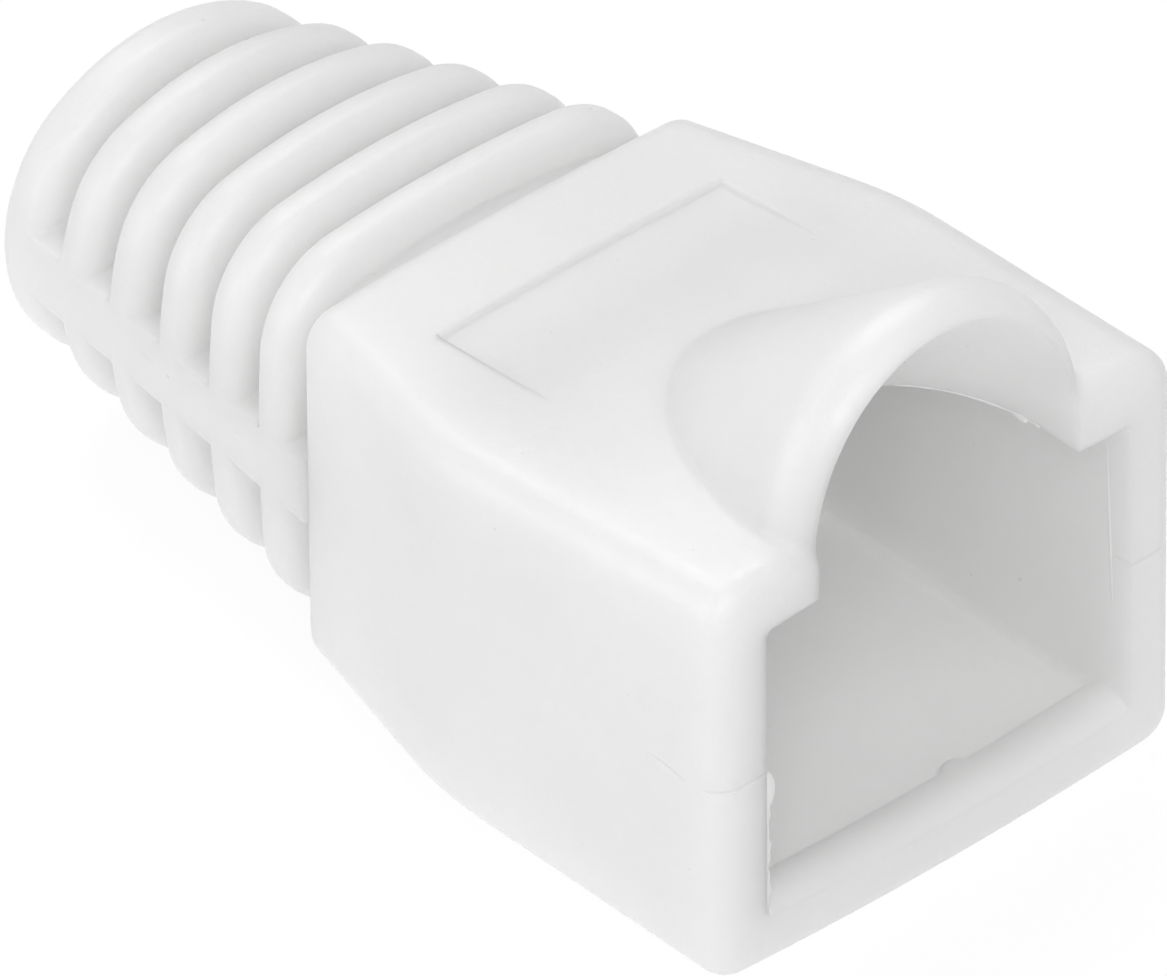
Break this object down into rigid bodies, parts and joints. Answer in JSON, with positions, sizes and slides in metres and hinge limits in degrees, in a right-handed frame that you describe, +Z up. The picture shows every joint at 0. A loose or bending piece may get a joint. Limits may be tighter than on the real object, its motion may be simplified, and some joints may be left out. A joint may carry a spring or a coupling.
{
  "type": "rj45 strain relief boot",
  "caption": "Moulded boot for a modular plug: a block with the plug's cavity and an arched hood for its latch, and a tapering ribbed sleeve that leads the cable out.",
  "frame": {"origin": "under the middle of the boot's box, on the surface that it lies on", "axes": "+X along the boot to the mouth that takes the plug, +Z up, the way the hood rises, and Y across, with the boot the same on both sides"},
  "size_m": [0.0284, 0.0156, 0.0163],
  "materials": {
    "soft_pvc": "off-white soft PVC, satin, with a fine moulded grain"
  },
  "bodies": {
    "root": {"boot": "soft_pvc"}
  },
  "joints": []
}
